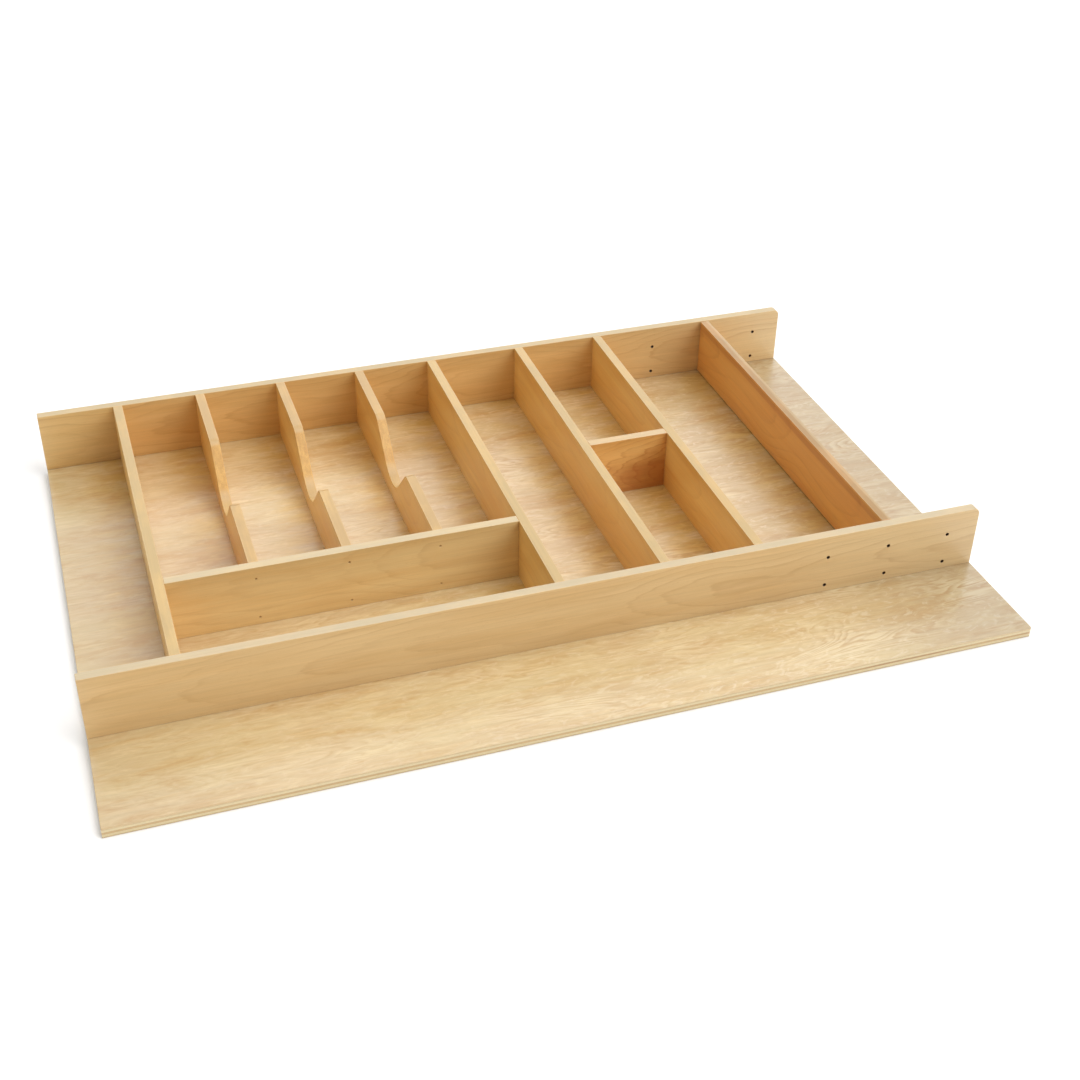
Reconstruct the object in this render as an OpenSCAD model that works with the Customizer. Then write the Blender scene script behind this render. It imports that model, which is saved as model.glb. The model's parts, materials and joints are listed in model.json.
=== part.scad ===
// Drawer organizer insert: a plywood base with two long rails, fixed dividers
// between them and one end divider that slides between the rails.
// Millimetres. +X runs to the right, +Y to the back, +Z up.
// The origin is the centre of the insert's plan, on its underside.

/* [Base] */
// Length of the insert, left to right
insert_length = 841.4; // [830:0.1:1000]
// Depth of the insert, front to back
insert_depth = 558.8; // [540:0.1:650]
// Thickness of the plywood base
base_thickness = 9.5; // [8:0.5:12]
// Radius of the base's front right corner
base_corner_radius = 2.5; // [1:0.5:6]

/* [Upright boards] */
// Thickness of every upright board
board_thickness = 9.5; // [8:0.1:12]
// Height of the fixed boards above the base
board_height = 63.5; // [60:0.5:80]
// Ledge of bare base in front of the front rail
ledge_depth = 109.5; // [60:0.5:125]
// Radius of the upper right corner of each rail
rail_corner_radius = 6.5; // [2:0.5:12]

/* [Straight dividers] */
// Left face of each straight divider, from the left end
straight_x = [76.2, 414.3, 515.3, 608.5];

/* [Finger dividers] */
// Left face of each finger divider, from the left end
finger_x = [161.2, 246.8, 332.8];
// Width of a finger notch, between its corners before they are rounded
notch_width = 120; // [100:1:130]
// Depth of a finger notch at its middle
notch_depth = 45; // [36:0.5:48]
// Radius of the two upper corners of a finger notch
notch_shoulder_radius = 15; // [5:1:25]

/* [Cross dividers] */
// Front face of the long cross divider, from the front edge
long_cross_y = 221; // [200:0.5:240]
// Front face of the short cross divider, from the front edge
short_cross_y = 328.6; // [260:0.5:400]

/* [End divider] */
// Gap between each end of the end divider and its rail
end_gap = 0.8; // [0.4:0.1:1.5]
// Gap under the end divider
floor_gap = 0.8; // [0.3:0.1:1]
// Drop of the end divider's top below the fixed boards' tops
end_divider_drop = 0.4; // [0:0.1:2]

/* [Screw holes] */
// Diameter of the screw holes in the rails
hole_diameter = 3.2; // [2.5:0.1:4]
// Distance from the right end to the nearest column of holes
hole_inset = 31.75; // [25:0.05:35]
// Distance from one column of holes to the next
hole_pitch = 63.5; // [55:0.1:66]
// Height of the lower holes above the base
hole_height = 7.9; // [6:0.1:12]
// Distance from the lower holes up to the upper holes
hole_rise = 31.75; // [25:0.05:38]

/* [Brads] */
// Diameter of a brad's shank
brad_diameter = 1.2; // [1:0.1:1.6]
// Diameter of a brad's head
brad_head_diameter = 2; // [1.8:0.1:2.5]
// Thickness of a brad's head
brad_head_thickness = 0.6; // [0.5:0.1:1]
// Length of a brad, with its head
brad_length = 25; // [20:1:25]
// Depth that a brad's head is set below the wood's face
brad_set = 0.6; // [0.3:0.1:0.8]

/* [Hidden] */

board_colour = "burlywood";
divider_colour = "tan";
base_colour = "wheat";
end_colour = "peru";
brad_colour = "silver";

overcut = 1;
curve_steps = 96;
small_steps = 32;

// Y of the rails' outer and inner faces
front_rail_y = ledge_depth;
bay_front_y = front_rail_y + board_thickness;
bay_rear_y = insert_depth - board_thickness;
finger_front_y = long_cross_y + board_thickness;
board_centre = board_thickness / 2;

// The notch's walls slope at 45 degrees, so its bottom arc follows from its width and depth
notch_bottom_radius = (notch_width / 2 - notch_depth) / (sqrt(2) - 1);
notch_y = (finger_front_y + bay_rear_y) / 2 - finger_front_y;

hole_columns = [for (column = [0:2]) insert_length - hole_inset - column * hole_pitch];
end_divider_x = hole_columns[1] - board_centre;

// Each row of base brads keeps this far from the ends of its board, and twice as far
// from the brads that enter the finger dividers' front ends
brad_margin = 15;
rail_brads_x = spread(brad_margin, insert_length - hole_inset - hole_pitch / 2, 7);
straight_brads_y = spread(bay_front_y + brad_margin, bay_rear_y - brad_margin, 4);
finger_brads_y = spread(finger_front_y + 2 * brad_margin, bay_rear_y - brad_margin, 4);
long_cross_brads_x = spread(straight_right(0) + brad_margin, straight_x[1] - brad_margin, 4);
short_cross_brads_x = spread(straight_right(2) + brad_margin, straight_x[3] - brad_margin, 2);
// Heights above the base of the brads through the long cross divider
face_brad_heights = [8, 51];

pilot_clearance = 0.02;
// The notch's arcs are this much larger than tangent ones, so that they cross the straight walls
arc_overlap = 0.02;

// Evenly spaced values from one end to the other
function spread(from, to, count) = [for (i = [0:count - 1]) from + (to - from) * i / (count - 1)];

function straight_right(index) = straight_x[index] + board_thickness;

// Moves from the insert's lower front left corner to the row's origin
module from_corner() {
    translate([-insert_length / 2, -insert_depth / 2, 0]) children();
}

// A brad pointing up from the origin, with its head's face brad_set above the origin
module brad(clearance = 0) {
    shank_length = brad_length - brad_head_thickness;
    translate([0, 0, brad_set + brad_head_thickness])
        cylinder(d = brad_diameter + 2 * clearance, h = shank_length, $fn = small_steps);
    translate([0, 0, brad_set])
        cylinder(d = brad_head_diameter + 2 * clearance, h = brad_head_thickness, $fn = small_steps);
}

// The hole that a set brad leaves: its own shape and the mouth below its head
module brad_hole() {
    brad(pilot_clearance);
    translate([0, 0, -overcut])
        cylinder(d = brad_head_diameter + 2 * pilot_clearance, h = brad_set + overcut, $fn = small_steps);
}

module brads_up(points) {
    for (point = points) translate([point.x, point.y, 0]) brad();
}

module brad_holes_up(points) {
    for (point = points) translate([point.x, point.y, 0]) brad_hole();
}

// Places a brad so that it points to the back from the long cross divider's front face
module through_long_cross(index, height) {
    brad_x = finger_x[index] + board_centre;
    translate([brad_x, long_cross_y, base_thickness + height]) rotate([-90, 0, 0]) children();
}

module face_brad_holes(index) {
    for (height = face_brad_heights) through_long_cross(index, height) brad_hole();
}

// Plan positions of the base brads under each board
function rail_points(y) = [for (x = rail_brads_x) [x, y + board_centre]];
function straight_points(index) = [for (y = straight_brads_y) [straight_x[index] + board_centre, y]];
function finger_points(index) = [for (y = finger_brads_y) [finger_x[index] + board_centre, y]];
function long_cross_points() = [for (x = long_cross_brads_x) [x, long_cross_y + board_centre]];
function short_cross_points() = [for (x = short_cross_brads_x) [x, short_cross_y + board_centre]];

function all_base_points() = concat(
    rail_points(front_rail_y),
    rail_points(bay_rear_y),
    [for (index = [0:3]) each straight_points(index)],
    [for (index = [0:2]) each finger_points(index)],
    long_cross_points(),
    short_cross_points()
);

module base_outline() {
    difference() {
        square([insert_length, insert_depth]);
        translate([insert_length - base_corner_radius, -overcut])
            square([base_corner_radius + overcut, base_corner_radius + overcut]);
    }
    translate([insert_length - base_corner_radius, base_corner_radius])
        circle(r = base_corner_radius, $fn = small_steps);
}

module base_panel() {
    color(base_colour) from_corner() difference() {
        linear_extrude(base_thickness) base_outline();
        brad_holes_up(all_base_points());
    }
}

// Side view of a rail, with its upper right corner rounded
module rail_outline() {
    difference() {
        square([insert_length, board_height]);
        translate([insert_length - rail_corner_radius, board_height - rail_corner_radius])
            square(rail_corner_radius + overcut);
    }
    translate([insert_length - rail_corner_radius, board_height - rail_corner_radius])
        circle(r = rail_corner_radius, $fn = curve_steps);
}

module rail_screw_holes() {
    for (x = hole_columns, height = [hole_height, hole_height + hole_rise])
        translate([x, -overcut, height])
            rotate([-90, 0, 0])
                cylinder(d = hole_diameter, h = board_thickness + 2 * overcut, $fn = small_steps);
}

module rail(y) {
    color(board_colour) from_corner() difference() {
        translate([0, y, base_thickness]) difference() {
            translate([0, board_thickness, 0])
                rotate([90, 0, 0])
                    linear_extrude(board_thickness) rail_outline();
            rail_screw_holes();
        }
        brad_holes_up(rail_points(y));
    }
}

module front_rail() {
    rail(front_rail_y);
}

module rear_rail() {
    rail(bay_rear_y);
}

module straight_divider(index) {
    color(divider_colour) from_corner() difference() {
        translate([straight_x[index], bay_front_y, base_thickness])
            cube([board_thickness, bay_rear_y - bay_front_y, board_height]);
        brad_holes_up(straight_points(index));
    }
}

// Finger notch seen from the side, centred on its lowest point's line, with its top at zero:
// 45 degree walls, one arc along the bottom and a rounded shoulder on each side
module notch_outline() {
    bottom_y = notch_bottom_radius * sin(45);
    bottom_z = notch_bottom_radius * (1 - cos(45)) - notch_depth;
    shoulder_y = notch_width / 2 + notch_shoulder_radius * tan(22.5);
    wall_top_y = shoulder_y - notch_shoulder_radius * sin(45);
    wall_top_z = notch_shoulder_radius * (cos(45) - 1);
    difference() {
        polygon([
            [-bottom_y, bottom_z], [bottom_y, bottom_z],
            [wall_top_y, wall_top_z], [shoulder_y, 0], [shoulder_y, overcut],
            [-shoulder_y, overcut], [-shoulder_y, 0], [-wall_top_y, wall_top_z]
        ]);
        for (side = [-1, 1])
            translate([side * shoulder_y, -notch_shoulder_radius])
                circle(r = notch_shoulder_radius + arc_overlap, $fn = curve_steps);
    }
    translate([0, notch_bottom_radius - notch_depth])
        circle(r = notch_bottom_radius + arc_overlap, $fn = curve_steps);
}

module finger_divider(index) {
    color(divider_colour) from_corner() difference() {
        translate([finger_x[index], finger_front_y, base_thickness])
            rotate([90, 0, 90])
                linear_extrude(board_thickness)
                    difference() {
                        square([bay_rear_y - finger_front_y, board_height]);
                        translate([notch_y, board_height]) notch_outline();
                    }
        brad_holes_up(finger_points(index));
        face_brad_holes(index);
    }
}

module long_cross_divider() {
    color(board_colour) from_corner() difference() {
        translate([straight_right(0), long_cross_y, base_thickness])
            cube([straight_x[1] - straight_right(0), board_thickness, board_height]);
        brad_holes_up(long_cross_points());
        for (index = [0:2]) face_brad_holes(index);
    }
}

module short_cross_divider() {
    color(board_colour) from_corner() difference() {
        translate([straight_right(2), short_cross_y, base_thickness])
            cube([straight_x[3] - straight_right(2), board_thickness, board_height]);
        brad_holes_up(short_cross_points());
    }
}

// The end divider stands at the middle column of screw holes and slides along X
module end_divider() {
    divider_length = bay_rear_y - bay_front_y - 2 * end_gap;
    divider_height = board_height - floor_gap - end_divider_drop;
    color(end_colour) from_corner()
        translate([end_divider_x, bay_front_y + end_gap, base_thickness + floor_gap])
            cube([board_thickness, divider_length, divider_height]);
}

module base_brads(points) {
    color(brad_colour) from_corner() brads_up(points);
}

module finger_divider_brads(index) {
    base_brads(finger_points(index));
    color(brad_colour) from_corner()
        for (height = face_brad_heights) through_long_cross(index, height) brad();
}

base_panel();
front_rail();
rear_rail();
straight_divider(0);  // straight_divider_1
straight_divider(1);  // straight_divider_2
straight_divider(2);  // straight_divider_3
straight_divider(3);  // straight_divider_4
finger_divider(0);  // finger_divider_1
finger_divider(1);  // finger_divider_2
finger_divider(2);  // finger_divider_3
long_cross_divider();
short_cross_divider();
end_divider();
base_brads(rail_points(front_rail_y));  // front_rail_brads
base_brads(rail_points(bay_rear_y));  // rear_rail_brads
base_brads(straight_points(0));  // straight_divider_1_brads
base_brads(straight_points(1));  // straight_divider_2_brads
base_brads(straight_points(2));  // straight_divider_3_brads
base_brads(straight_points(3));  // straight_divider_4_brads
finger_divider_brads(0);  // finger_divider_1_brads
finger_divider_brads(1);  // finger_divider_2_brads
finger_divider_brads(2);  // finger_divider_3_brads
base_brads(long_cross_points());  // long_cross_divider_brads
base_brads(short_cross_points());  // short_cross_divider_brads
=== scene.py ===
"""Looks of the drawer organizer insert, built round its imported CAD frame.

The scene is in metres, with +X right, +Y back and +Z up. Wood is laid out in millimetres.
"""

import json
import math
from typing import NamedTuple

import bmesh
import bpy
from mathutils import Euler, Matrix, Vector


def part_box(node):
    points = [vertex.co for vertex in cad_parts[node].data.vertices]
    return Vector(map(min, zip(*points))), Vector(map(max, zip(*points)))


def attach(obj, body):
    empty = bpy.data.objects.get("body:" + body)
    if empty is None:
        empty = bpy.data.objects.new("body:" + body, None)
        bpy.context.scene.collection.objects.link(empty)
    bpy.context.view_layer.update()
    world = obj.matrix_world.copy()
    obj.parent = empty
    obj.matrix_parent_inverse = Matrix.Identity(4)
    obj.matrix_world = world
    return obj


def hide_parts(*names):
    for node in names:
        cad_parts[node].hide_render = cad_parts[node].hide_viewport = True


MM = 0.001
X, Y, Z = range(3)

# Camera: the place and direction from which the insert is seen
CAMERA_PLACE = Vector((-0.3864, -1.2106, 0.8953))
CAMERA_YAW = math.radians(19.19)
CAMERA_PITCH = math.radians(34.816)
CAMERA_ROLL = math.radians(0.973)
CAMERA_LENS = 52.15
SENSOR_WIDTH = 36

# Boards
RAILS = ("front_rail", "rear_rail")
ARRIS = 0.45 * MM
ARRIS_STEPS = 2
END_CORNER = 0.6 * MM
RAIL_CORNER = 6.5 * MM
BASE_CORNER = 2.5 * MM
NOTCH_WIDTH = 120 * MM
NOTCH_DEPTH = 45 * MM
NOTCH_SHOULDER = 15 * MM
NOTCH_SLOPE = math.pi / 4
BRAD_HOLE = 1.02 * MM
BRAD_HEAD_REACH = 0.8 * MM
BRAD_SPREAD = 3 * MM

# Meshes
ARC_STEP = math.radians(3)
SMALL_ARC_STEP = math.radians(30)
SMALL_RADIUS = 1 * MM
HOLE_STEPS = 32
SMOOTH_ANGLE = math.radians(12)
WELD_DISTANCE = 0.002 * MM
SHORTEST_EDGE = 0.001 * MM


# ---------------------------------------------------------------- outlines

def arc(centre, radius, start, end, step=ARC_STEP):
    """Points of an arc from one angle to another, both ends included."""
    count = max(2, math.ceil(abs(end - start) / step))
    angles = [start + (end - start) * i / count for i in range(count + 1)]
    return [(centre[0] + radius * math.cos(a), centre[1] + radius * math.sin(a)) for a in angles]


def rounded_rectangle(low, high, radii):
    """Anticlockwise outline from the lower left corner; radii are for that corner and the next three."""
    corners = [
        ((low[0], low[1]), (1, 1), math.pi),
        ((high[0], low[1]), (-1, 1), 1.5 * math.pi),
        ((high[0], high[1]), (-1, -1), 0),
        ((low[0], high[1]), (1, -1), 0.5 * math.pi),
    ]
    points = []
    for (corner, inward, start), radius in zip(corners, radii):
        centre = (corner[0] + inward[0] * radius, corner[1] + inward[1] * radius)
        step = ARC_STEP if radius > SMALL_RADIUS else SMALL_ARC_STEP
        points += arc(centre, radius, start, start + math.pi / 2, step)
    return points


def notched_rectangle(low, high):
    """Anticlockwise outline of a board with a finger notch in the middle of its upper edge."""
    middle = (low[0] + high[0]) / 2
    upright = math.pi / 2
    bottom_radius = (NOTCH_WIDTH / 2 - NOTCH_DEPTH) / (math.sqrt(2) - 1)
    bottom_centre = (middle, high[1] - NOTCH_DEPTH + bottom_radius)
    bottom = arc(bottom_centre, bottom_radius, -NOTCH_SLOPE, -math.pi + NOTCH_SLOPE)

    reach = NOTCH_WIDTH / 2 + NOTCH_SHOULDER * math.tan(NOTCH_SLOPE / 2)
    level = high[1] - NOTCH_SHOULDER
    right_shoulder = arc((middle + reach, level), NOTCH_SHOULDER, upright, upright + NOTCH_SLOPE)
    left_shoulder = arc((middle - reach, level), NOTCH_SHOULDER, NOTCH_SLOPE, upright)

    plain = rounded_rectangle(low, high, [END_CORNER] * 4)
    after_right_end = len(plain) * 3 // 4
    notch = right_shoulder + bottom + left_shoulder
    return plain[:after_right_end] + notch + plain[after_right_end:]


# ---------------------------------------------------------------- boards

def plate_mesh(name, outline, holes, thickness):
    """A flat plate in the XY plane, centred on Z, with through holes and eased edges everywhere."""
    curve = bpy.data.curves.new(name, "CURVE")
    curve.dimensions = "2D"
    curve.fill_mode = "BOTH"
    curve.extrude = thickness / 2 - ARRIS
    curve.bevel_depth = ARRIS
    curve.bevel_resolution = ARRIS_STEPS
    curve.offset = -ARRIS
    hole_step = 2 * math.pi / HOLE_STEPS
    circles = [arc((x, y), radius, 0, 2 * math.pi, hole_step)[:-1] for x, y, radius in holes]
    for points in [outline, *circles]:
        spline = curve.splines.new("POLY")
        spline.points.add(len(points) - 1)
        for point, (x, y) in zip(spline.points, points):
            point.co = (x, y, 0, 1)
        spline.use_cyclic_u = True
    drawn = bpy.data.objects.new(name, curve)
    mesh = bpy.data.meshes.new_from_object(drawn)
    bpy.data.objects.remove(drawn)
    bpy.data.curves.remove(curve)
    return mesh


def weld(mesh):
    """Joins the coincident vertices and turns every face outward."""
    work = bmesh.new()
    work.from_mesh(mesh)
    bmesh.ops.remove_doubles(work, verts=work.verts, dist=WELD_DISTANCE)
    bmesh.ops.dissolve_degenerate(work, edges=work.edges, dist=SHORTEST_EDGE)
    bmesh.ops.recalc_face_normals(work, faces=work.faces)
    work.to_mesh(mesh)
    work.free()


# Each maps a plate's own axes to the row frame: the board lies flat, or stands along X or along Y
LYING = Matrix(((1, 0, 0), (0, 1, 0), (0, 0, 1)))
ALONG_X = Matrix(((1, 0, 0), (0, 0, -1), (0, 1, 0)))
ALONG_Y = Matrix(((0, 0, 1), (1, 0, 0), (0, 1, 0)))


def add_board(node, turn, outline, holes=()):
    """Builds the board that stands for a CAD node, from an outline in the plate's own axes."""
    low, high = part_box(node)
    thickness = abs((turn.transposed() @ (high - low)).z)
    across = turn @ Vector((0, 0, 1))
    depth = ((low + high) / 2).dot(across)
    name = node + "_board"
    mesh = plate_mesh(name, outline, holes, thickness)
    mesh.transform(turn.to_4x4())
    mesh.transform(Matrix.Translation(across * depth))
    weld(mesh)
    mesh.shade_smooth()
    mesh.set_sharp_from_angle(angle=SMOOTH_ANGLE)
    board = bpy.data.objects.new(name, mesh)
    bpy.context.scene.collection.objects.link(board)
    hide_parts(node)
    return board


def face_corners(node, turn):
    """Lowest and highest corner of a CAD node's box in the plate's own first two axes."""
    low, high = (turn.transposed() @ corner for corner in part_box(node))
    return (low.x, low.y), (high.x, high.y)


def plain_board(node, turn, holes=()):
    """A board with four sawn corners."""
    outline = rounded_rectangle(*face_corners(node, turn), [END_CORNER] * 4)
    return add_board(node, turn, outline, holes)


def screw_holes(rail, record):
    """Centres and radius of a rail's screw holes: two columns are mounts, and the third is midway."""
    mounts = {m["name"]: m for m in record["mounts"]}
    outer = mounts[rail + "_outer_holes"]
    inner = mounts[rail + "_inner_holes"]
    radius = outer["dims"]["hole_r_mm"] * MM
    rise = outer["dims"]["spacing_y_mm"] * MM / 2
    columns = [outer["pos_m"][0], inner["pos_m"][0]]
    columns.append(sum(columns) / 2)
    level = outer["pos_m"][2]
    return [(x, z, radius) for x in columns for z in (level - rise, level + rise)]


def clusters(points):
    """Centres of the groups of points that lie within a brad's spread of each other."""
    groups = []
    for point in points:
        near = next((g for g in groups if (g[0] - point).length < BRAD_SPREAD), None)
        if near is None:
            groups.append([point])
        else:
            near.append(point)
    return [sum(g, Vector((0, 0))) / len(g) for g in groups]


def brad_holes(nodes, axis, level, flat):
    """Places where brads enter a face: the vertices of their heads nearest to the face, in two axes."""
    points = []
    for node in nodes:
        for vertex in bpy.data.objects[node].data.vertices:
            if abs(vertex.co[axis] - level) < BRAD_HEAD_REACH:
                points.append(Vector((vertex.co[flat[0]], vertex.co[flat[1]])))
    return [(c.x, c.y, BRAD_HOLE) for c in clusters(points)]


def build_base(brads):
    """The base panel, with the brads' holes in its underside and a rounder front right corner."""
    low, high = face_corners("base_panel", LYING)
    outline = rounded_rectangle(low, high, [END_CORNER, BASE_CORNER, END_CORNER, END_CORNER])
    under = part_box("base_panel")[0].z
    return add_board("base_panel", LYING, outline, brad_holes(brads, Z, under, (X, Y)))


def build_rail(rail, record):
    """A rail, with its screw holes and a round upper right corner."""
    low, high = face_corners(rail, ALONG_X)
    outline = rounded_rectangle(low, high, [END_CORNER, END_CORNER, RAIL_CORNER, END_CORNER])
    return add_board(rail, ALONG_X, outline, screw_holes(rail, record))


def build_boards(frame):
    """Every board by its CAD node's name. The order gives each board's wood its seed."""
    brads = [n for n in frame["nodes"] if n.endswith("_brads")]
    plain = sorted(n for n in frame["nodes"] if n not in brads)
    boards = {"base_panel": build_base(brads)}
    for rail in RAILS:
        boards[rail] = build_rail(rail, frame["record"])

    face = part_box("long_cross_divider")[0].y
    heads = brad_holes([n for n in brads if n.startswith("finger")], Y, face, (X, Z))
    boards["long_cross_divider"] = plain_board("long_cross_divider", ALONG_X, heads)
    boards["short_cross_divider"] = plain_board("short_cross_divider", ALONG_X)

    for divider in [n for n in plain if n.startswith("straight")] + ["end_divider"]:
        boards[divider] = plain_board(divider, ALONG_Y)
    for divider in [n for n in plain if n.startswith("finger")]:
        outline = notched_rectangle(*face_corners(divider, ALONG_Y))
        boards[divider] = add_board(divider, ALONG_Y, outline)
    return boards


# ---------------------------------------------------------------- node trees

BUMP_STRENGTH = 0.6


def srgb(colour):
    """A display colour, 0 to 255 a channel, as the linear colour that a shader takes."""
    def linear(value):
        value /= 255
        return value / 12.92 if value <= 0.04045 else ((value + 0.055) / 1.055) ** 2.4
    return (*(linear(channel) for channel in colour), 1)


class Nodes:
    """Builds one material: each method adds a node and returns the output that carries its result."""

    def __init__(self, name):
        self.material = bpy.data.materials.new(name)
        self.material.use_nodes = True
        self.tree = self.material.node_tree
        self.surface = self.tree.nodes["Principled BSDF"]

    def feed(self, socket, value):
        """Links an output to a socket, or sets the socket's own value."""
        if isinstance(value, bpy.types.NodeSocket):
            self.tree.links.new(value, socket)
        else:
            socket.default_value = value

    def add(self, kind, inputs, output=0, **settings):
        node = self.tree.nodes.new("ShaderNode" + kind)
        for key, value in settings.items():
            setattr(node, key, value)
        for socket, value in inputs.items():
            self.feed(node.inputs[socket], value)
        return node.outputs[output]

    def math(self, operation, *values):
        return self.add("Math", dict(enumerate(values)), operation=operation)

    def minus(self, first, second):
        return self.math("SUBTRACT", first, second)

    def plus(self, first, *others):
        for other in others:
            first = self.math("ADD", first, other)
        return first

    def times(self, first, *others):
        for other in others:
            first = self.math("MULTIPLY", first, other)
        return first

    def centred(self, noise, reach=1.0):
        """Noise moved so that it swings about nought, by half the reach each way."""
        return self.times(self.minus(noise, 0.5), reach)

    def distance(self, first, second):
        """Length of the diagonal whose two sides these are."""
        squares = self.plus(self.times(first, first), self.times(second, second))
        return self.math("SQRT", squares)

    def object_place(self):
        return self.add("TexCoord", {}, output="Object")

    def place(self, vector, scale, offset=(0, 0, 0)):
        """vector times scale plus offset, each axis apart."""
        inputs = {0: vector, 1: scale, 2: offset}
        return self.add("VectorMath", inputs, operation="MULTIPLY_ADD")

    def split(self, vector):
        """The three outputs of a vector's parts."""
        node = self.tree.nodes.new("ShaderNodeSeparateXYZ")
        self.feed(node.inputs[0], vector)
        return node.outputs

    def join(self, x, y, z):
        return self.add("CombineXYZ", {0: x, 1: y, 2: z})

    def noise(self, vector, scale=1.0, detail=2.0, roughness=0.5, distortion=0.0):
        inputs = {"Vector": vector, "Scale": scale, "Detail": detail, "Roughness": roughness}
        return self.add("TexNoise", {**inputs, "Distortion": distortion})

    def wave(self, value):
        """Smooth noise along one number."""
        inputs = {"W": value, "Scale": 1.0, "Detail": 1.0}
        return self.add("TexNoise", inputs, noise_dimensions="1D")

    def ease(self, value, low, high, to_low=0.0, to_high=1.0, kind="SMOOTHSTEP"):
        """Takes low to to_low and high to to_high, softly, and holds still outside them."""
        inputs = {0: value, 1: low, 2: high, 3: to_low, 4: to_high}
        return self.add("MapRange", inputs, interpolation_type=kind)

    def scale(self, value, low, high, to_low, to_high):
        """The same in a straight line."""
        return self.ease(value, low, high, to_low, to_high, kind="LINEAR")

    def mix(self, share, first, second, blend="MIX"):
        """Colours are inputs 6 and 7 and output 2 of a Mix node, whose other sockets are for numbers."""
        inputs = {0: share, 6: first, 7: second}
        return self.add("Mix", inputs, output=2, data_type="RGBA", blend_type=blend)

    def tint(self, share, colour, tint):
        return self.mix(share, colour, tint, blend="MULTIPLY")

    def shade(self, colour, tone):
        """The colour times one number."""
        return self.tint(1.0, colour, self.join(tone, tone, tone))

    def coat(self, weight, roughness):
        self.surface.inputs["Coat Weight"].default_value = weight
        self.surface.inputs["Coat Roughness"].default_value = roughness

    def finish(self, colour, roughness, height, bump_depth):
        self.feed(self.surface.inputs["Base Color"], colour)
        self.feed(self.surface.inputs["Roughness"], roughness)
        bump = {"Strength": BUMP_STRENGTH, "Distance": bump_depth, "Height": height}
        self.feed(self.surface.inputs["Normal"], self.add("Bump", bump))
        return self.material


# ---------------------------------------------------------------- grain

# How far apart one seed's noise lies from the next, and one layer's from the next, on each axis
SEED_STEPS = (7.3, 3.1, 5.7)
SHIFT_STEPS = (1, -1, 2)

# Growth rings: the length of a swing of the pith line, and what keeps the swings apart
SWING_LENGTH = 170
SWING_SEED_STEP = 11.7
SWING_DEPTH_SHIFT = 37.0


class Layer(NamedTuple):
    """Noise with cells of these lengths in mm along, up and through a board; span becomes result."""

    lengths: tuple
    shift: float
    detail: float = 2.0
    roughness: float = 0.5
    distortion: float = 0.0
    span: tuple = (0.0, 1.0)
    result: tuple = (0.0, 1.0)


RING_WOBBLE = Layer((60, 9, 9), 3.0, detail=3)


class Grain:
    """A board's own space in millimetres: along the grain, up its width and through its thickness."""

    def __init__(self, nodes, node, axes, seed):
        low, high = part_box(node)
        centre = (low + high) / 2
        self.nodes = nodes
        self.seed = seed
        self.half = [(high - low)[axis] / 2 / MM for axis in axes]
        self.centre = [centre[axis] / MM for axis in axes]
        place = nodes.place(nodes.object_place(), (1 / MM,) * 3, tuple(-c / MM for c in centre))
        parts = nodes.split(place)
        self.along, self.up, self.through = (parts[axis] for axis in axes)
        self.vector = nodes.join(self.along, self.up, self.through)
        facing = nodes.split(nodes.add("NewGeometry", {}, output="True Normal"))
        self.end_on, self.edge_on, self.flat_on = (nodes.math("ABSOLUTE", facing[axis]) for axis in axes)

    def noise(self, layer):
        """The layer's noise as it comes."""
        scale = tuple(1 / length for length in layer.lengths)
        steps = zip(SEED_STEPS, SHIFT_STEPS)
        offset = tuple(self.seed * seed_step + layer.shift * step for seed_step, step in steps)
        place = self.nodes.place(self.vector, scale, offset)
        return self.nodes.noise(place, 1.0, layer.detail, layer.roughness, layer.distortion)

    def eased(self, layer):
        """The layer's noise, softly taken from its span to its result."""
        return self.nodes.ease(self.noise(layer), *layer.span, *layer.result)

    def scaled(self, layer):
        """The same in a straight line."""
        return self.nodes.scale(self.noise(layer), *layer.span, *layer.result)

    def lengthwise(self, start, end, at_start, at_end):
        """Changes softly from one place along the board to another, as shares of its half length."""
        half = self.half[0]
        return self.nodes.ease(self.along, start * half, end * half, at_start, at_end)

    def edge(self):
        """Distance in millimetres from the nearest edge of the board's box."""
        nodes = self.nodes
        places = (self.along, self.up, self.through)
        a, b, c = (nodes.minus(h, nodes.math("ABSOLUTE", p)) for p, h in zip(places, self.half))
        lower = nodes.math("MINIMUM", a, b)
        upper = nodes.math("MAXIMUM", a, b)
        return nodes.math("MAXIMUM", lower, nodes.math("MINIMUM", upper, c))

    def rings(self, pith, tilt, wander, spacing, ripple):
        """Growth ring count: the distance from a pith line beside the board, over the ring spacing."""
        nodes = self.nodes
        swing = nodes.plus(nodes.math("DIVIDE", self.along, SWING_LENGTH), self.seed * SWING_SEED_STEP)
        swing_up = nodes.centred(nodes.wave(swing), wander)
        swing_in = nodes.centred(nodes.wave(nodes.plus(swing, SWING_DEPTH_SHIFT)), wander)
        up = nodes.plus(nodes.minus(self.up, pith[0]), swing_up)
        depth = nodes.plus(nodes.minus(self.through, pith[1]), swing_in, nodes.times(self.along, tilt))
        wobble = nodes.centred(self.noise(RING_WOBBLE), ripple)
        radius = nodes.plus(nodes.distance(up, depth), wobble)
        return nodes.math("DIVIDE", radius, spacing)


# ---------------------------------------------------------------- maple

# The row frame's axes along, up and through a board
ALONG_X_AXES = (X, Z, Y)
ALONG_Y_AXES = (Y, Z, X)
LYING_AXES = (X, Y, Z)

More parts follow.
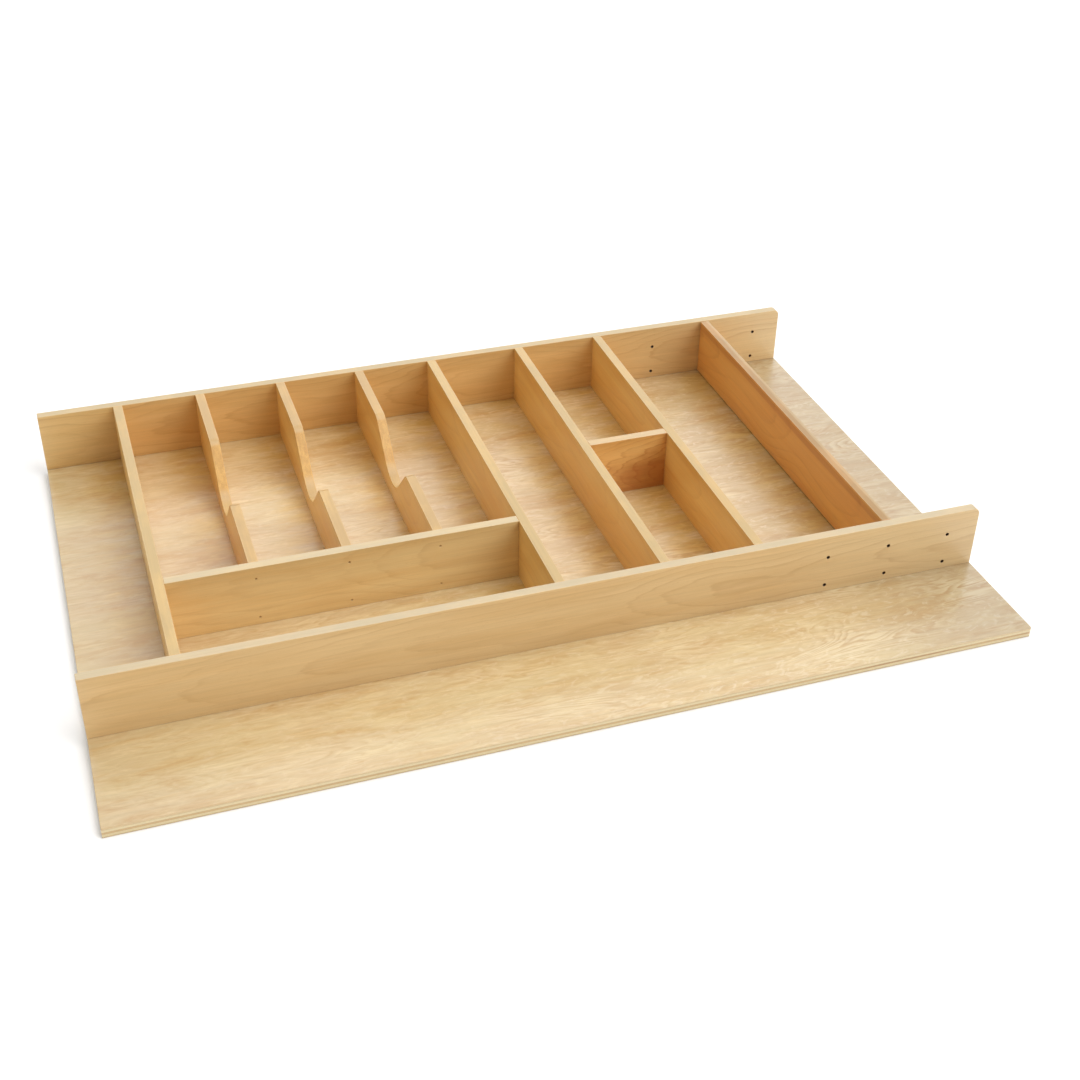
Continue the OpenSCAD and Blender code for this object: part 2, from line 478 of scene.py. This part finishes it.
# Light, middle and dark tone of the faces, then the tone of the planed upper and lower edges: partly
# their own tone and partly painted shade, darker than the faces against the strong light from above
FRONT_TONES = ((231, 198, 144), (223, 186, 129), (180, 128, 71), (193, 174, 137))
REAR_TONES = ((233, 196, 132), (225, 184, 118), (181, 126, 65), (188, 165, 120))
CROSS_TONES = ((234, 207, 149), (226, 191, 129), (180, 130, 71), (198, 178, 139))
DIVIDER_TONES = ((239, 197, 116), (231, 181, 99), (186, 126, 57), (190, 160, 103))
FINGER_TONES = (*DIVIDER_TONES[:3], (190, 153, 93))
END_TONES = ((231, 172, 90), (223, 157, 78), (178, 108, 46), (162, 121, 58))
FIGURED_TONES = ((244, 201, 127), (230, 176, 100), (183, 110, 50), (204, 175, 128))

FADED_MAPLE = (235, 213, 166)
RUBBED_MAPLE = (228, 204, 166)
SAPWOOD = (178, 149, 100)
HEARTWOOD_TINT = (231, 216, 206)
# Painted shade inside the screw holes
HOLE_SHADE = (66, 40, 20)

MAPLE_CLOUDS = Layer((200, 22, 22), 1.0, detail=4, roughness=0.6, span=(0.3, 0.7))
MAPLE_FIBRES = Layer((26, 0.55, 0.55), 5.0, detail=4, roughness=0.7)
MAPLE_THREADS = Layer((120, 1.7, 1.7), 6.0, 3, 0.6, span=(0.25, 0.75), result=(0.95, 1.04))
MAPLE_BANDS = Layer((260, 6, 6), 7.0, span=(0.3, 0.7), result=(0.97, 1.02))
RING_PATCHES = Layer((170, 26, 26), 9.0, span=(0.3, 0.7), result=(0.25, 1.0))
FLECKS = Layer((4.5, 0.4, 0.4), 13.0, detail=1, span=(0.7, 0.76))
RUBBED_SPOTS = Layer((20, 4, 4), 21.0)
STREAK_EDGE = Layer((90, 8, 8), 31.0)
END_PORES = Layer((8, 0.7, 0.7), 41.0)
END_CLOUDS = Layer((9, 14, 3.5), 43.0, detail=4, roughness=0.65, distortion=0.6)
CORNER_DARKENING_EDGE = Layer((50, 22, 22), 51.0, detail=3)
PLANED_AND_SHADED_PATCHES = Layer((80, 40, 40), 61.0, 4, 0.65, span=(0.36, 0.58), result=(0.7, 0.97))
SAPWOOD_EDGE = Layer((70, 6, 6), 71.0, detail=3)

# Spans and results, for nodes.ease and nodes.scale
MAPLE_FIBRE_TONE = (0.25, 0.75, 0.94, 1.05)
MAPLE_GLOSS = (0.3, 0.7, 0.3, 0.42)
RING_GLOW = (0.1, 0.85)
LATE_WOOD_RISE = (0.72, 0.93)
LATE_WOOD_FALL = (0.95, 1.0, 1.0, 0.0)
RUBBED_REACH = (0.3, 1.3, 1.0, 0.0)
HOLE_SHADE_REACH = (0.02, 0.3, 0.95, 0.0)
END_GRAIN_MOTTLE = (0.4, 0.6, 0.1, 1.0)
CORNER_DARKENING_SPAN = (-0.4, 1.1)
SAPWOOD_SPAN = (0.2, 0.5)
PLANED_AND_SHADED_FACING = (0.6, 0.95)

# Where the rails' paler right ends begin and are palest, as shares of half the length
FADE_SPAN = (0.3, 0.8)

# The heartwood streak, in mm: its depth at the front and rear end, its soft lower edge and its top
STREAK_DEPTHS = (11.0, 9.5)
STREAK_SOFTNESS = (0.0, 2.5)
STREAK_TOP = (0.8, 3.5)

# How far noise moves the ragged edge of the streak, in mm, and of the lower right darkening, in halves
# of the board
STREAK_RAGGED = 3.0
CORNER_DARKENING_RAGGED = 3.0

# How much of each shows
PORE_WEIGHT = 0.4
CLOUD_WEIGHT = 0.6
GLOW_SHARE = 0.35
FLECK_SHARE = 0.3
END_GRAIN_SHARE = 0.9
RUBBED_SHARE = 0.35
RUBBED_ROUGHNESS = 0.12
LATE_WOOD_HEIGHT = 0.25
END_GRAIN_POWER = 1.5
WOOD_BUMP = 0.06 * MM

# Weight and roughness of the lacquer coat
MAPLE_COAT = (0.4, 0.3)
BIRCH_COAT = (0.8, 0.25)


def maple(node, axes, seed, tones, pith=(-4, 40), tilt=0.035, wander=14, spacing=3.8, ripple=1.5,
          line=0.3, streak=0.0, darkening=0.0, fade=0.0, holes=()):
    """Lacquered maple: fine growth rings and fibres, flecks, darker end grain and rubbed edges."""
    nodes = Nodes(node + "_maple")
    grain = Grain(nodes, node, axes, seed)
    light, middle, dark, edge_tone_and_shade = (srgb(tone) for tone in tones)

    colour = nodes.mix(grain.eased(MAPLE_CLOUDS), light, middle)
    if fade:
        colour = faded_end(nodes, grain, colour, fade)
    if darkening:
        colour = lower_right_darkening(nodes, grain, colour, dark, darkening)
    within_ring = nodes.math("FRACT", grain.rings(pith, tilt, wander, spacing, ripple))
    rise = nodes.ease(within_ring, *LATE_WOOD_RISE)
    late_wood = nodes.times(rise, nodes.ease(within_ring, *LATE_WOOD_FALL))
    patches = grain.eased(RING_PATCHES)
    glow = nodes.times(nodes.ease(within_ring, *RING_GLOW), patches, line * GLOW_SHARE)
    colour = nodes.mix(glow, colour, dark)
    colour = nodes.mix(nodes.times(late_wood, patches, line), colour, dark)
    colour = nodes.mix(nodes.times(grain.eased(FLECKS), FLECK_SHARE), colour, dark)

    end_grain = nodes.times(nodes.math("POWER", grain.end_on, END_GRAIN_POWER), END_GRAIN_SHARE)
    colour = nodes.mix(end_grain, colour, end_grain_tone(nodes, grain, middle, dark))
    if streak:
        colour = heartwood_streak(nodes, grain, colour, streak)
        edge_tone_and_shade = sapwood_stripe(nodes, grain, edge_tone_and_shade)
    # Planed edge tone, partly painted shade that offsets the strong light from above
    colour = nodes.mix(planed_tone_and_shade_share(nodes, grain), colour, edge_tone_and_shade)
    rubbed = nodes.times(nodes.ease(grain.edge(), *RUBBED_REACH), grain.noise(RUBBED_SPOTS))
    colour = nodes.mix(nodes.times(rubbed, RUBBED_SHARE), colour, srgb(RUBBED_MAPLE))

    fibres = grain.noise(MAPLE_FIBRES)
    tone = nodes.times(
        nodes.scale(fibres, *MAPLE_FIBRE_TONE),
        grain.scaled(MAPLE_THREADS),
        grain.scaled(MAPLE_BANDS),
    )
    colour = nodes.shade(colour, tone)
    # Painted shade inside the screw holes
    if holes:
        colour = nodes.mix(painted_hole_shade(nodes, grain, holes), colour, srgb(HOLE_SHADE))

    roughness = nodes.plus(nodes.scale(fibres, *MAPLE_GLOSS), nodes.times(rubbed, RUBBED_ROUGHNESS))
    height = nodes.plus(fibres, nodes.times(late_wood, LATE_WOOD_HEIGHT))
    nodes.coat(*MAPLE_COAT)
    return nodes.finish(colour, roughness, height, WOOD_BUMP)


def faded_end(nodes, grain, colour, strength):
    """Paler wood towards the right end."""
    return nodes.mix(grain.lengthwise(*FADE_SPAN, 0.0, strength), colour, srgb(FADED_MAPLE))


def lower_right_darkening(nodes, grain, colour, dark, strength):
    """Darker towards the lower right corner of the board's front, with a ragged edge."""
    rightward = nodes.math("DIVIDE", grain.along, grain.half[0])
    upward = nodes.math("DIVIDE", grain.up, grain.half[1])
    ragged = nodes.centred(grain.noise(CORNER_DARKENING_EDGE), CORNER_DARKENING_RAGGED)
    reach = nodes.plus(nodes.minus(rightward, upward), ragged)
    return nodes.mix(nodes.ease(reach, *CORNER_DARKENING_SPAN, 0.0, strength), colour, dark)


def end_grain_tone(nodes, grain, middle, dark):
    """Sawn fibre ends: a finely speckled tone between the middle and the dark one."""
    pores = nodes.times(grain.noise(END_PORES), PORE_WEIGHT)
    clouds = nodes.times(grain.noise(END_CLOUDS), CLOUD_WEIGHT)
    return nodes.mix(nodes.ease(nodes.plus(pores, clouds), *END_GRAIN_MOTTLE), middle, dark)


def heartwood_streak(nodes, grain, colour, strength):
    """A darker band just under the board's upper edge, ragged on its lower side."""
    half_length, half_width = grain.half[0], grain.half[1]
    below_top = nodes.minus(half_width, grain.up)
    reach = nodes.scale(grain.along, -half_length, half_length, *STREAK_DEPTHS)
    reach = nodes.plus(reach, nodes.centred(grain.noise(STREAK_EDGE), STREAK_RAGGED))
    inside = nodes.ease(nodes.minus(reach, below_top), *STREAK_SOFTNESS)
    below_arris = nodes.ease(below_top, *STREAK_TOP)
    return nodes.tint(nodes.times(inside, below_arris, strength), colour, srgb(HEARTWOOD_TINT))


def sapwood_stripe(nodes, grain, edge_tone_and_shade):
    """Paler sapwood along the right third of the planed edges."""
    across = nodes.math("DIVIDE", grain.through, grain.half[2])
    across = nodes.plus(across, nodes.centred(grain.noise(SAPWOOD_EDGE)))
    return nodes.mix(nodes.ease(across, *SAPWOOD_SPAN), edge_tone_and_shade, srgb(SAPWOOD))


def planed_tone_and_shade_share(nodes, grain):
    """Where the planed edge tone, partly painted shade against the light from above, shows: on the long
    edges, thinner in a few golden patches.
    """
    return nodes.times(grain.eased(PLANED_AND_SHADED_PATCHES), nodes.ease(grain.edge_on, *PLANED_AND_SHADED_FACING))


def painted_hole_shade(nodes, grain, holes):
    """Painted shade: dark inside the holes, and thinly round their mouths."""
    share = 0.0
    for x, z, radius in holes:
        sideways = nodes.minus(grain.along, x / MM - grain.centre[0])
        rise = nodes.minus(grain.up, z / MM - grain.centre[1])
        away = nodes.minus(nodes.distance(sideways, rise), radius / MM)
        share = nodes.math("MAXIMUM", share, nodes.ease(away, *HOLE_SHADE_REACH))
    return share


def front_maple(node, seed, holes):
    return maple(node, ALONG_X_AXES, seed, FRONT_TONES, ripple=4, line=0.2, fade=0.2, holes=holes)


def rear_maple(node, seed, holes):
    return maple(node, ALONG_X_AXES, seed, REAR_TONES, ripple=4, line=0.24, fade=0.5, holes=holes)


def cross_maple(node, seed):
    return maple(node, ALONG_X_AXES, seed, CROSS_TONES, pith=(10, 60), ripple=4, line=0.16)


def figured_maple(node, seed):
    return maple(node, ALONG_X_AXES, seed, FIGURED_TONES, pith=(-8, 30), tilt=0.3,
                 wander=30, spacing=5.5, ripple=12, line=0.4, darkening=0.75)


def divider_maple(node, seed):
    return maple(node, ALONG_Y_AXES, seed, DIVIDER_TONES, pith=(14, 70), line=0.14)


def finger_maple(node, seed):
    return maple(node, ALONG_Y_AXES, seed, FINGER_TONES, pith=(14, 70), line=0.14)


def end_maple(node, seed):
    return maple(node, ALONG_Y_AXES, seed, END_TONES, pith=(18, 80), line=0.2, streak=0.9)


# ---------------------------------------------------------------- birch plywood

BIRCH_CREAM = (208, 184, 136)
BIRCH_ROSY = (205, 178, 133)
BIRCH_TAN = (194, 154, 94)
MOTTLE_PALE = (222, 200, 152)
MOTTLE_DARK = (184, 138, 80)
CURL_PALE = (222, 203, 166)
WISP_PALE = (230, 211, 168)
FURROW = (190, 142, 84)
# Tint of the painted shade and painted reflection beside the dividers' feet
DIVIDER_SHADE_TINT = (250, 231, 172)
CORE_STAIN = (160, 108, 56)

BIRCH_HUE = Layer((150, 60, 60), 1.0, detail=3, roughness=0.6)
BIRCH_CLOUDS = Layer((110, 26, 26), 2.0, 5, 0.65, 0.8, span=(0.44, 0.72), result=(0.0, 0.7))
BIRCH_MOTTLE = Layer((34, 8, 8), 3.0, detail=5, roughness=0.65, distortion=1.2)
BIRCH_SWEEP = Layer((190, 42, 42), 4.0, detail=3, distortion=1.5)
BIRCH_FIBRES = Layer((22, 0.7, 0.7), 5.0, detail=4, roughness=0.7)
BIRCH_BANDS = Layer((90, 2.6, 2.6), 7.0, 3, 0.6, span=(0.28, 0.72), result=(0.94, 1.045))
WISP_PATCHES = Layer((110, 45, 45), 8.0, span=(0.42, 0.7))
CURLS = Layer((24, 10, 10), 10.0, detail=5, roughness=0.6, distortion=2.2, span=(0.5, 0.68))
DIVIDER_SHADE_BLOTCHES = Layer((60, 26, 26), 81.0, 5, 0.65, span=(0.35, 0.6), result=(0.25, 1.0))
PLY_SWAY = Layer((90, 90, 7), 15.0)
CORE_RUNS = Layer((160, 160, 200), 18.0, span=(0.45, 0.7))
PLY_SPECKS = Layer((2.6, 2.6, 0.5), 25.0, span=(0.3, 0.75), result=(1.03, 0.9))

# Spans and results, for nodes.ease and nodes.scale
HUE_SPAN = (0.38, 0.62)
MOTTLE_PALE_SHARE = (0.5, 0.68, 0.0, 0.5)
MOTTLE_DARK_SHARE = (0.32, 0.5, 0.3, 0.0)
BIRCH_FIBRE_TONE = (0.25, 0.75, 0.93, 1.05)
BIRCH_GLOSS = (0.3, 0.7, 0.27, 0.4)
PLY_FACING = (0.4, 0.7, 1.0, 0.0)
CORE_REACH = (0.05, 0.1, 1.0, 0.0)

# Changes along the panel, for grain.lengthwise, and the wisps' strength at the left and right end
ROSY_RISE = (0.4, 1.0, 0.0, 0.2)
LEFT_DULLING = (-1.0, -0.5, 0.9, 1.0)
RIGHT_DULLING = (0.45, 1.0, 1.0, 0.7)
CORE_STAIN_RISE = (0.1, 0.7, 0.15, 1.0)
WISP_STRENGTHS = (0.12, 0.8)

# Contour lines of the wisps: how many in the noise's range, and how each rises and falls on its way
# to the next
CONTOURS = 13.0
WISP_RISE = (0.1, 0.8)
WISP_FALL = (0.84, 1.0, 1.0, 0.0)
FURROW_RISE = (0.0, 0.06)
FURROW_FALL = (0.0, 0.3, 1.0, 0.0)
FURROW_SHARE = 0.6

# Painted shade and painted reflection on the floor beside each divider's left foot: reach in mm,
# strength, and the edge of each in mm where the board is fixed and where it is loose
DIVIDER_SHADE_REACH = (6.0, 62.0, 1.0, 0.0)
DIVIDER_SHADE_STRENGTH = 0.95
FIXED_FADE = 1.0
LOOSE_FADE = 40.0

# Where each ply starts and ends, as a share of the thickness, and its tone at both places
PLIES = (
    (0.00, 0.10, (206, 176, 128), (208, 178, 130)),
    (0.14, 0.39, (226, 206, 158), (222, 200, 150)),
    (0.43, 0.57, (210, 174, 120), (208, 170, 116)),
    (0.61, 0.85, (228, 208, 160), (226, 204, 156)),
    (0.89, 1.00, (218, 190, 144), (218, 190, 144)),
)
GLUE_LINES = ((176, 142, 94), (176, 140, 90), (172, 136, 88), (182, 146, 98))

# How far past its ply the middle of a glue line lies, how far the lines sway in mm, and the core's stain
GLUE_STEP = 0.02
SWAY_REACH = 0.6
CORE_STAIN_SHARE = 0.7


class Marks(NamedTuple):
    """Small marks, one chance in each cell: the cell in mm, the grid's shift, reach and share, tone."""

    cell: tuple
    shift: tuple
    reach: tuple
    tone: tuple


PIN_KNOTS = Marks((150, 100), (0.4, 0.7, 0.5), (0.006, 0.02, 0.7, 0.0), (134, 88, 46))
MINERAL_STREAKS = Marks((420, 45), (3.1, 1.9, 0.5), (0.012, 0.035, 0.4, 0.0), (150, 104, 60))


def birch_plywood(node, seed, standing):
    """Rotary-cut birch with a clear lacquer; standing lists the boards with painted shade beside their
    feet.
    """
    nodes = Nodes(node + "_birch")
    grain = Grain(nodes, node, LYING_AXES, seed)

    colour = birch_wisps(nodes, grain, birch_ground(nodes, grain))
    # Painted shade and painted reflection of the dividers on the floor beside their feet
    colour = painted_divider_shade(nodes, grain, colour, standing)
    fibres = grain.noise(BIRCH_FIBRES)
    tone = nodes.times(
        nodes.scale(fibres, *BIRCH_FIBRE_TONE),
        grain.scaled(BIRCH_BANDS),
        grain.lengthwise(*RIGHT_DULLING),
        grain.lengthwise(*LEFT_DULLING),
    )
    face = nodes.shade(colour, tone)
    for marks in (PIN_KNOTS, MINERAL_STREAKS):
        face = scattered(nodes, grain, face, marks)
    on_edge = nodes.ease(grain.flat_on, *PLY_FACING)
    colour = nodes.mix(on_edge, face, ply_edges(nodes, grain))
    nodes.coat(*BIRCH_COAT)
    return nodes.finish(colour, nodes.scale(fibres, *BIRCH_GLOSS), fibres, WOOD_BUMP)


def birch_ground(nodes, grain):
    """Cream to rosy, a little rosier at the right, under tan clouds and a fine mottle."""
    hue = nodes.plus(grain.noise(BIRCH_HUE), grain.lengthwise(*ROSY_RISE))
    hue = nodes.ease(hue, *HUE_SPAN)
    colour = nodes.mix(hue, srgb(BIRCH_CREAM), srgb(BIRCH_ROSY))
    colour = nodes.mix(grain.eased(BIRCH_CLOUDS), colour, srgb(BIRCH_TAN))
    mottle = grain.noise(BIRCH_MOTTLE)
    colour = nodes.mix(nodes.ease(mottle, *MOTTLE_PALE_SHARE), colour, srgb(MOTTLE_PALE))
    return nodes.mix(nodes.ease(mottle, *MOTTLE_DARK_SHARE), colour, srgb(MOTTLE_DARK))


def birch_wisps(nodes, grain, colour):
    """Pale curls and contour wisps with a darker furrow beside each, stronger towards the right."""
    half = grain.half[0]
    strength = nodes.scale(grain.along, -half, half, *WISP_STRENGTHS)
    colour = nodes.mix(nodes.times(grain.eased(CURLS), strength), colour, srgb(CURL_PALE))
    contour = nodes.math("FRACT", nodes.times(grain.noise(BIRCH_SWEEP), CONTOURS))
    patches = grain.eased(WISP_PATCHES)
    wisp = nodes.times(nodes.ease(contour, *WISP_RISE), nodes.ease(contour, *WISP_FALL))
    colour = nodes.mix(nodes.times(wisp, patches, strength), colour, srgb(WISP_PALE))
    furrow = nodes.times(nodes.ease(contour, *FURROW_FALL), nodes.ease(contour, *FURROW_RISE))
    return nodes.mix(nodes.times(furrow, patches, strength, FURROW_SHARE), colour, srgb(FURROW))


def painted_divider_shade(nodes, grain, colour, standing):
    """Painted shade and painted reflection: deeper amber along the left foot of each divider, soft on
    both sides where the board is loose.
    """
    share = 0.0
    for node in standing:
        low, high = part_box(node)
        away = nodes.minus(low.x / MM - grain.centre[0], grain.along)
        fade = LOOSE_FADE if node == "end_divider" else FIXED_FADE
        middle = (low.y + high.y) / 2 / MM - grain.centre[1]
        half = (high.y - low.y) / 2 / MM
        beside = nodes.math("ABSOLUTE", nodes.minus(grain.up, middle))
        band = nodes.times(
            nodes.ease(away, *DIVIDER_SHADE_REACH),
            nodes.ease(away, -fade, 0.0),
            nodes.ease(beside, half, half + FIXED_FADE, 1.0, 0.0),
        )
        share = nodes.math("MAXIMUM", share, band)
    share = nodes.times(share, grain.eased(DIVIDER_SHADE_BLOTCHES), DIVIDER_SHADE_STRENGTH)
    return nodes.tint(share, colour, srgb(DIVIDER_SHADE_TINT))


def scattered(nodes, grain, colour, marks):
    """Small marks over the colour, where the random point of a grid cell lies close."""
    scale = (1 / marks.cell[0], 1 / marks.cell[1], 0)
    place = nodes.place(grain.vector, scale, marks.shift)
    away = nodes.add("TexVoronoi", {"Vector": place, "Randomness": 1.0})
    return nodes.mix(nodes.ease(away, *marks.reach), colour, srgb(marks.tone))


def ply_stops():
    """Places and tones of the colour ramp: both sides of each ply, and the glue line after it."""
    stops = []
    for (start, end, first, last), glue in zip(PLIES, (*GLUE_LINES, None)):
        stops += [(start, first), (end, last)]
        if glue:
            stops.append((end + GLUE_STEP, glue))
    return stops


def ply_edges(nodes, grain):
    """Five plies with thin glue lines between them; the middle ply shows darker in places."""
    thickness = 2 * grain.half[2]
    sway = nodes.centred(grain.noise(PLY_SWAY), SWAY_REACH)
    height = nodes.plus(grain.through, thickness / 2, sway)
    share = nodes.math("DIVIDE", height, thickness)
    ramp = nodes.tree.nodes.new("ShaderNodeValToRGB")
    nodes.feed(ramp.inputs[0], share)
    elements = ramp.color_ramp.elements
    (_, lowest), *between, (_, highest) = ply_stops()
    elements[0].color = srgb(lowest)
    elements[-1].color = srgb(highest)
    for place, tone in between:
        elements.new(place).color = srgb(tone)

    core = nodes.ease(nodes.math("ABSOLUTE", nodes.centred(share)), *CORE_REACH)
    stained_end = grain.lengthwise(*CORE_STAIN_RISE)
    darkening = nodes.times(core, grain.eased(CORE_RUNS), stained_end, CORE_STAIN_SHARE)
    colour = nodes.mix(darkening, ramp.outputs[0], srgb(CORE_STAIN))
    return nodes.shade(colour, grain.scaled(PLY_SPECKS))


# ---------------------------------------------------------------- brads and slots

STEEL_PALE = (196, 160, 110)
STEEL_DARK = (156, 118, 76)
STEEL_SPOTS_PER_METRE = 2500
STEEL_SPOT_SPAN = (0.35, 0.7)
STEEL_GLOSS = (0.3, 0.7, 0.35, 0.6)
STEEL_METALLIC = 0.3
STEEL_BUMP = 0.02 * MM


def brad_steel():
    """Dulled steel under yellowed lacquer, with darker spots."""
    nodes = Nodes("brad_steel")
    spots = nodes.noise(nodes.place(nodes.object_place(), (STEEL_SPOTS_PER_METRE,) * 3), detail=3)
    colour = nodes.mix(nodes.ease(spots, *STEEL_SPOT_SPAN), srgb(STEEL_PALE), srgb(STEEL_DARK))
    nodes.surface.inputs["Metallic"].default_value = STEEL_METALLIC
    return nodes.finish(colour, nodes.ease(spots, *STEEL_GLOSS), spots, STEEL_BUMP)


# Each kind of board's material, and the record's slot that it takes its finish from
MAKERS = {
    "base_panel": (birch_plywood, "base_plywood"),
    "front_rail": (front_maple, "rail_maple"),
    "rear_rail": (rear_maple, "rail_maple"),
    "long_cross_divider": (cross_maple, "cross_maple"),
    "short_cross_divider": (figured_maple, "figured_maple"),
    "straight_divider": (divider_maple, "divider_maple"),
    "finger_divider": (finger_maple, "finger_maple"),
    "end_divider": (end_maple, "end_maple"),
}


def runs_back(node):
    """True for a board that runs along Y."""
    low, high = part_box(node)
    return high.y - low.y > high.x - low.x


def dress(boards, frame):
    """Gives every board and every brad its material."""
    extras = {rail: screw_holes(rail, frame["record"]) for rail in RAILS}
    extras["base_panel"] = [node for node in boards if runs_back(node)]
    for seed, (node, board) in enumerate(boards.items(), start=1):
        maker, slot = MAKERS[node.rstrip("_1234")]
        extra = [extras[node]] if node in extras else []
        board.data.materials.clear()
        board.data.materials.append(maker(node, seed, *extra))
    steel = brad_steel()
    for name, brads in frame["nodes"].items():
        if name.endswith("_brads"):
            brads.data.materials.clear()
            brads.data.materials.append(steel)


# ---------------------------------------------------------------- stage

FLOOR_SIZE = 14.0
FLOOR_GAP = 0.1 * MM
FLOOR_PALE = (250, 250, 249)
FLOOR_GREY = (246, 246, 246)
FLOOR_MOTTLES_PER_METRE = 3.0
FLOOR_ROUGHNESS = 0.9
FLOOR_BUMP = 0.01 * MM
WORLD_LIGHT = 0.14

# Lamps: azimuth from +X, elevation and softness in degrees, and strength
LAMPS = {
    "key": (-38, 38, 50, 1.85),
    "top": (-10, 80, 44, 1.42),
    "left_fill": (182, 36, 44, 0.62),
    "rear_sheen": (70, 38, 62, 1.26),
}


def add_floor():
    mesh = bpy.data.meshes.new("floor")
    half = FLOOR_SIZE / 2
    corners = [(-half, -half, 0), (half, -half, 0), (half, half, 0), (-half, half, 0)]
    mesh.from_pydata(corners, [], [(0, 1, 2, 3)])
    floor = bpy.data.objects.new("floor", mesh)
    floor.location.z = -FLOOR_GAP
    bpy.context.scene.collection.objects.link(floor)
    nodes = Nodes("floor_paper")
    mottle = nodes.noise(nodes.object_place(), scale=FLOOR_MOTTLES_PER_METRE, detail=3)
    colour = nodes.mix(mottle, srgb(FLOOR_PALE), srgb(FLOOR_GREY))
    mesh.materials.append(nodes.finish(colour, FLOOR_ROUGHNESS, mottle, FLOOR_BUMP))


def add_world():
    """A surround that is white to the camera and dim as a light."""
    world = bpy.data.worlds.new("studio")
    world.use_nodes = True
    tree = world.node_tree
    background = tree.nodes["Background"]
    background.inputs["Color"].default_value = (1, 1, 1, 1)
    seen = tree.nodes.new("ShaderNodeLightPath").outputs["Is Camera Ray"]
    strength = tree.nodes.new("ShaderNodeMapRange")
    strength.inputs["To Min"].default_value = WORLD_LIGHT
    strength.inputs["To Max"].default_value = 1.0
    tree.links.new(seen, strength.inputs["Value"])
    tree.links.new(strength.outputs["Result"], background.inputs["Strength"])
    bpy.context.scene.world = world


def add_lamps():
    for name, (azimuth, elevation, softness, strength) in LAMPS.items():
        light = bpy.data.lights.new(name, "SUN")
        light.energy = strength
        light.angle = math.radians(softness)
        lamp = bpy.data.objects.new(name, light)
        tilt = Matrix.Rotation(math.radians(90 - elevation), 3, "Y")
        turn = Matrix.Rotation(math.radians(azimuth), 3, "Z")
        lamp.rotation_euler = (turn @ tilt).to_euler()
        bpy.context.scene.collection.objects.link(lamp)


def add_camera():
    data = bpy.data.cameras.new("camera")
    data.sensor_width = SENSOR_WIDTH
    data.lens = CAMERA_LENS
    camera = bpy.data.objects.new("camera", data)
    camera.location = CAMERA_PLACE
    turn = Euler((math.pi / 2 - CAMERA_PITCH, 0, -CAMERA_YAW)).to_matrix()
    camera.rotation_euler = (turn @ Matrix.Rotation(CAMERA_ROLL, 3, "Z")).to_euler()
    bpy.context.scene.collection.objects.link(camera)
    bpy.context.scene.camera = camera


# ---------------------------------------------------------------- the insert

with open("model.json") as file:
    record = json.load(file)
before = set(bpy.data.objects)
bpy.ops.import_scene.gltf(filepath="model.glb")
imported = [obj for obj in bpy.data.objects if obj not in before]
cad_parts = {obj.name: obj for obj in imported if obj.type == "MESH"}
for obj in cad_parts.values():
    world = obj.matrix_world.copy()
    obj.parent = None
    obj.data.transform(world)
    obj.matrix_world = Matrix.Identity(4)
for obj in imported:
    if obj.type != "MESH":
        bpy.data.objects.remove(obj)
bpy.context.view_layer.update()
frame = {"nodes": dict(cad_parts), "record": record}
add_camera()
add_floor()
add_world()
add_lamps()
bpy.context.scene.view_settings.view_transform = "Standard"

boards = build_boards(frame)
dress(boards, frame)
for node, board in boards.items():
    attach(board, "end_divider" if node == "end_divider" else "tray")
